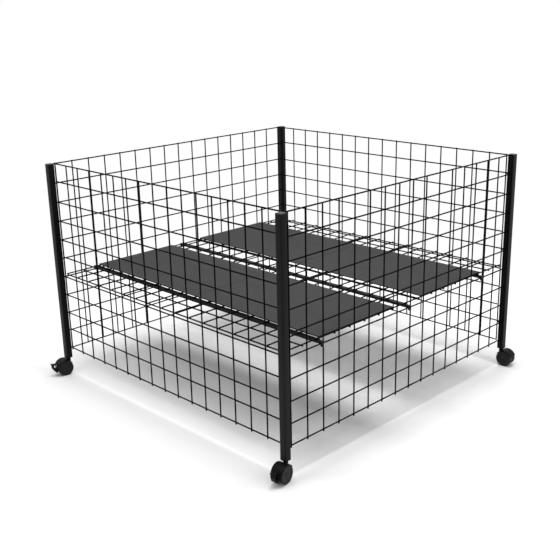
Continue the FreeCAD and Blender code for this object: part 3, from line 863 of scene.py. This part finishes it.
for panel_node in ("side_panel_left", "side_panel_right"):
    side_panel(panel_node)
for panel_node in ("front_panel", "rear_panel"):
    end_panel(panel_node)
deck()
for bar_place in ("front", "middle", "rear"):
    support_bar(bar_place)
for board_end in ("front", "rear"):
    for board_side in ("left", "right"):
        board(board_end, board_side)
for corner_name, (_, braked) in CASTORS.items():
    post(corner_name)
    post_cap(corner_name)
    hook_lugs(corner_name)
    castor_housing(corner_name)
    castor_wheel("a", corner_name)
    castor_wheel("b", corner_name)
    if braked:
        brake_pedal(corner_name)


# ---- floor, light and background -------------------------------------------------------------
FLOOR_SIZE = 40.0
CLEAR_FROM = 0.95              # the floor starts to melt into white this far out,
CLEAR_BY = 1.7                 # and is plain white from here on
OVERHEAD_LIGHT = 0.44          # the room's light from straight above
SIDE_LIGHT = 0.78              # and from the sides
SIDES_UP_TO = 0.45             # the two blend between these heights of the sky, 1 overhead
OVERHEAD_FROM = 0.75
# place, edge and power of each overhead lamp, all facing down
LAMPS = {"softbox_wide": ((0.25, -0.25, 2.9), 1.4, 37.0),
         "softbox_narrow": ((0.25, 0.25, 2.9), 0.7, 9.0),
         "spot_box": ((0.75, 0.0, 2.9), 0.2, 8.7),
         "softbox_front": ((-0.5, -1.75, 2.9), 0.7, 14.0),
         "softbox_back": ((-0.5, 2.0, 2.9), 0.7, 15.0),
         "softbox_left": ((-1.3, 0.0, 2.9), 0.7, 7.0),
         "softbox_right": ((1.8, 0.3, 2.9), 0.7, 12.0)}


def seen_directly(nodes, links):
    """1 for rays from the camera, from a mirror or through glass, 0 for the rest."""
    path = nodes.new("ShaderNodeLightPath")
    first = nodes.new("ShaderNodeMath")
    first.operation = "MAXIMUM"
    second = nodes.new("ShaderNodeMath")
    second.operation = "MAXIMUM"
    links.new(path.outputs["Is Camera Ray"], first.inputs[0])
    links.new(path.outputs["Is Glossy Ray"], first.inputs[1])
    links.new(first.outputs["Value"], second.inputs[0])
    links.new(path.outputs["Is Transmission Ray"], second.inputs[1])
    return second.outputs["Value"]


def make_world():
    """White to the eye and in mirrors; as a light it is brighter at the sides than overhead."""
    world = bpy.data.worlds.new("studio")
    bpy.context.scene.world = world
    world.use_nodes = True
    nodes = world.node_tree.nodes
    links = world.node_tree.links
    background = nodes["Background"]
    background.inputs["Color"].default_value = (1, 1, 1, 1)
    place = nodes.new("ShaderNodeTexCoord")
    parts = nodes.new("ShaderNodeSeparateXYZ")
    links.new(place.outputs["Generated"], parts.inputs["Vector"])
    height = nodes.new("ShaderNodeMapRange")
    height.inputs["From Min"].default_value = SIDES_UP_TO
    height.inputs["From Max"].default_value = OVERHEAD_FROM
    height.inputs["To Min"].default_value = SIDE_LIGHT
    height.inputs["To Max"].default_value = OVERHEAD_LIGHT
    links.new(parts.outputs["Z"], height.inputs["Value"])
    level = nodes.new("ShaderNodeMapRange")
    level.inputs["To Max"].default_value = 1.0
    links.new(height.outputs["Result"], level.inputs["To Min"])
    links.new(seen_directly(nodes, links), level.inputs["Value"])
    links.new(level.outputs["Result"], background.inputs["Strength"])


def make_floor():
    """White paper floor that takes the shadow near the bin and turns to plain white far off."""
    bpy.ops.mesh.primitive_plane_add(size=FLOOR_SIZE)
    floor = bpy.context.object
    floor.name = "floor"
    made, nodes, links, shader = new_material("white_paper", (0.92, 0.92, 0.92),
                                              roughness=0.9, specular=0.0)
    place = nodes.new("ShaderNodeTexCoord")
    length = nodes.new("ShaderNodeVectorMath")
    length.operation = "LENGTH"
    far = nodes.new("ShaderNodeMapRange")
    far.interpolation_type = "SMOOTHSTEP"
    far.inputs["From Min"].default_value = CLEAR_FROM
    far.inputs["From Max"].default_value = CLEAR_BY
    both = nodes.new("ShaderNodeMath")
    both.operation = "MULTIPLY"
    white = nodes.new("ShaderNodeEmission")
    white.inputs["Color"].default_value = (1, 1, 1, 1)
    mix = nodes.new("ShaderNodeMixShader")
    links.new(place.outputs["Object"], length.inputs[0])
    links.new(length.outputs["Value"], far.inputs["Value"])
    links.new(far.outputs["Result"], both.inputs[0])
    links.new(seen_directly(nodes, links), both.inputs[1])
    links.new(both.outputs["Value"], mix.inputs["Fac"])
    links.new(shader.outputs["BSDF"], mix.inputs[1])
    links.new(white.outputs["Emission"], mix.inputs[2])
    links.new(mix.outputs["Shader"], nodes["Material Output"].inputs["Surface"])
    floor.data.materials.append(made)


def make_lamps():
    for name, (place, edge, power) in LAMPS.items():
        data = bpy.data.lights.new(name, "AREA")
        data.shape = "SQUARE"
        data.size = edge
        data.energy = power
        lamp = bpy.data.objects.new(name, data)
        bpy.context.scene.collection.objects.link(lamp)
        lamp.location = place


make_world()
make_floor()
make_lamps()
bpy.context.scene.view_settings.view_transform = "Standard"
